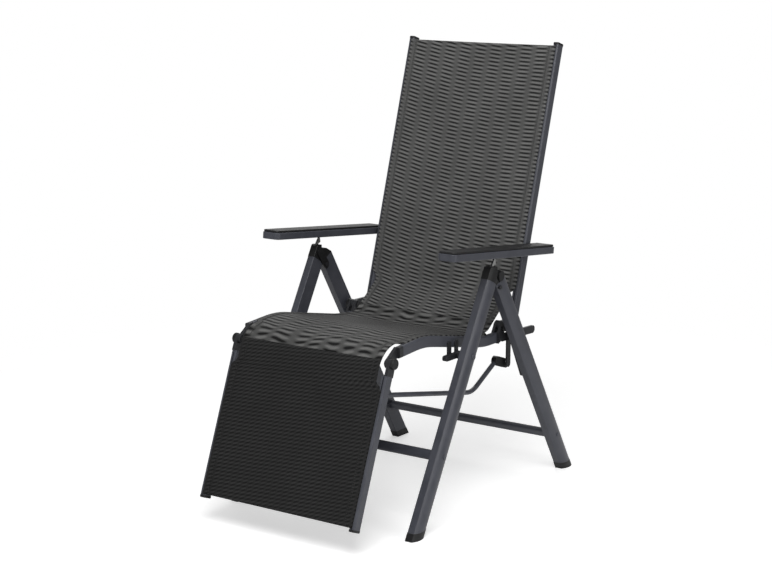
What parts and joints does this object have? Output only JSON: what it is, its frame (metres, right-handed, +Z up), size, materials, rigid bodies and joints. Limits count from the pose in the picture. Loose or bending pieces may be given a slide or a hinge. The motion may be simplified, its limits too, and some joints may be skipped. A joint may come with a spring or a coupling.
{
  "type": "reclining garden armchair",
  "caption": "Folding garden armchair with textile sling seat, high reclining back, slotted armrests and a footrest linked to the back.",
  "frame": {"origin": "on the floor, below the middle of the chair's bounding box", "axes": "+X to the sitter's left, across the chair; +Y to the rear, the sitter faces -Y; +Z up"},
  "size_m": [0.581, 0.935, 1.1239],
  "materials": {
    "frame_paint": "powder coat, satin",
    "black_plastic": "moulded, matte",
    "bright_steel": "zinc plated",
    "sling_fabric": "coated woven mesh",
    "pad_plastic": "moulded, fine grain",
    "black_paint": "powder coat, black"
  },
  "bodies": {
    "front_frame": {"front_leg_l": "frame_paint", "front_leg_r": "frame_paint", "front_crossbar": "frame_paint", "front_foot_caps": "black_plastic", "front_head_l": "black_plastic", "front_head_r": "black_plastic", "latch_tongues": "bright_steel", "fold_pins": "bright_steel", "seat_pivot_bolts": "bright_steel", "front_bar_screws": "bright_steel"},
    "rear_frame": {"rear_leg_l": "frame_paint", "rear_leg_r": "frame_paint", "rear_crossbar": "frame_paint", "rear_foot_caps": "black_plastic", "rear_head_l": "black_plastic", "rear_head_r": "black_plastic", "link_bosses": "black_plastic", "rear_bar_screws": "bright_steel"},
    "seat": {"seat_rail_l": "frame_paint", "seat_rail_r": "frame_paint", "seat_crossbars": "frame_paint", "seat_front_fittings": "black_plastic", "seat_rear_fittings": "black_plastic", "seat_brackets": "black_plastic", "seat_sling": "sling_fabric", "link_bolts": "bright_steel"},
    "fold_links": {"fold_links": "frame_paint"},
    "back_bushes": {"back_bushes": "bright_steel", "back_knobs": "black_plastic"},
    "backrest": {"backrest_tube_l": "frame_paint", "backrest_tube_r": "frame_paint", "backrest_upper_bar": "frame_paint", "backrest_lower_bar": "frame_paint", "backrest_caps": "black_plastic", "backrest_fittings": "black_plastic", "levers": "black_paint", "lever_pins": "bright_steel", "back_sling": "sling_fabric", "armrest_pins": "bright_steel"},
    "foot_bushes": {"foot_bushes": "bright_steel", "foot_knobs": "black_plastic"},
    "footrest": {"footrest_tube_l": "frame_paint", "footrest_tube_r": "frame_paint", "footrest_bars": "frame_paint", "footrest_caps": "black_plastic", "footrest_fittings": "black_plastic", "foot_sling": "sling_fabric", "rod_pins": "bright_steel"},
    "rod_sleeves": {"rod_sleeves": "bright_steel"},
    "link_rods": {"link_rods": "frame_paint", "rod_blocks": "black_plastic"},
    "arm_sleeves": {"arm_sleeves": "bright_steel"},
    "arm_rings": {"arm_rings": "bright_steel"},
    "armrest_l": {"armrest_rail_l": "frame_paint", "armrest_pad_l": "pad_plastic", "armrest_rack_l": "black_plastic"},
    "armrest_r": {"armrest_rail_r": "frame_paint", "armrest_pad_r": "pad_plastic", "armrest_rack_r": "black_plastic"}
  },
  "joints": [
    {"name": "fold", "type": "hinge", "parent": "front_frame", "child": "rear_frame", "pos_m": [0, 0.0781, 0.549], "axis": [-1, 0, 0], "range_deg": [0, 60.5]},
    {"name": "seat_fold", "type": "hinge", "parent": "front_frame", "child": "seat", "pos_m": [0, -0.04552, 0.399], "axis": [-1, 0, 0], "range_deg": [0, 85]},
    {"name": "link_fold", "type": "hinge", "parent": "seat", "child": "fold_links", "pos_m": [0, 0.1961, 0.4], "axis": [-1, 0, 0], "range_deg": [0, 105.37]},
    {"name": "back_fold", "type": "hinge", "parent": "seat", "child": "back_bushes", "pos_m": [0, 0.1681, 0.43], "axis": [1, 0, 0], "range_deg": [0, 90]},
    {"name": "recline", "type": "hinge", "parent": "back_bushes", "child": "backrest", "pos_m": [0, 0.1681, 0.43], "axis": [-1, 0, 0], "range_deg": [0, 28]},
    {"name": "foot_fold", "type": "hinge", "parent": "seat", "child": "foot_bushes", "pos_m": [0, -0.3119, 0.428], "axis": [1, 0, 0], "range_deg": [0, 90]},
    {"name": "foot_raise", "type": "hinge", "parent": "foot_bushes", "child": "footrest", "pos_m": [0, -0.3119, 0.428], "axis": [-1, 0, 0], "range_deg": [0, 52.05]},
    {"name": "sleeve_fold", "type": "hinge", "parent": "footrest", "child": "rod_sleeves", "pos_m": [0, -0.3259, 0.352], "axis": [-1, 0, 0], "range_deg": [0, 84.3]},
    {"name": "rod_swing", "type": "hinge", "parent": "rod_sleeves", "child": "link_rods", "pos_m": [0, -0.3259, 0.352], "axis": [1, 0, 0], "range_deg": [0, 46.05]},
    {"name": "arm_level", "type": "hinge", "parent": "backrest", "child": "arm_sleeves", "pos_m": [0, 0.2904, 0.6097], "axis": [1, 0, 0], "range_deg": [0, 14.65]},
    {"name": "arm_fold", "type": "hinge", "parent": "arm_sleeves", "child": "arm_rings", "pos_m": [0, 0.2904, 0.6097], "axis": [-1, 0, 0], "range_deg": [0, 101.6]},
    {"name": "lift_l", "type": "hinge", "parent": "arm_rings", "child": "armrest_l", "pos_m": [0, 0.2904, 0.6097], "axis": [-1, 0, 0], "range_deg": [0, 25]},
    {"name": "lift_r", "type": "hinge", "parent": "arm_rings", "child": "armrest_r", "pos_m": [0, 0.2904, 0.6097], "axis": [-1, 0, 0], "range_deg": [0, 25]}
  ],
  "couplings": [
    {"joint": "seat_fold", "follows": "fold", "ratio": 1.405},
    {"joint": "link_fold", "follows": "fold", "ratio": 1.7416},
    {"joint": "back_fold", "follows": "fold", "ratio": 1.4876},
    {"joint": "foot_fold", "follows": "fold", "ratio": 1.4876},
    {"joint": "sleeve_fold", "follows": "fold", "ratio": 1.3934},
    {"joint": "arm_fold", "follows": "fold", "ratio": 1.6793},
    {"joint": "foot_raise", "follows": "recline", "ratio": 1.8589},
    {"joint": "rod_swing", "follows": "recline", "ratio": 1.6448},
    {"joint": "arm_level", "follows": "recline", "ratio": 0.52321}
  ]
}
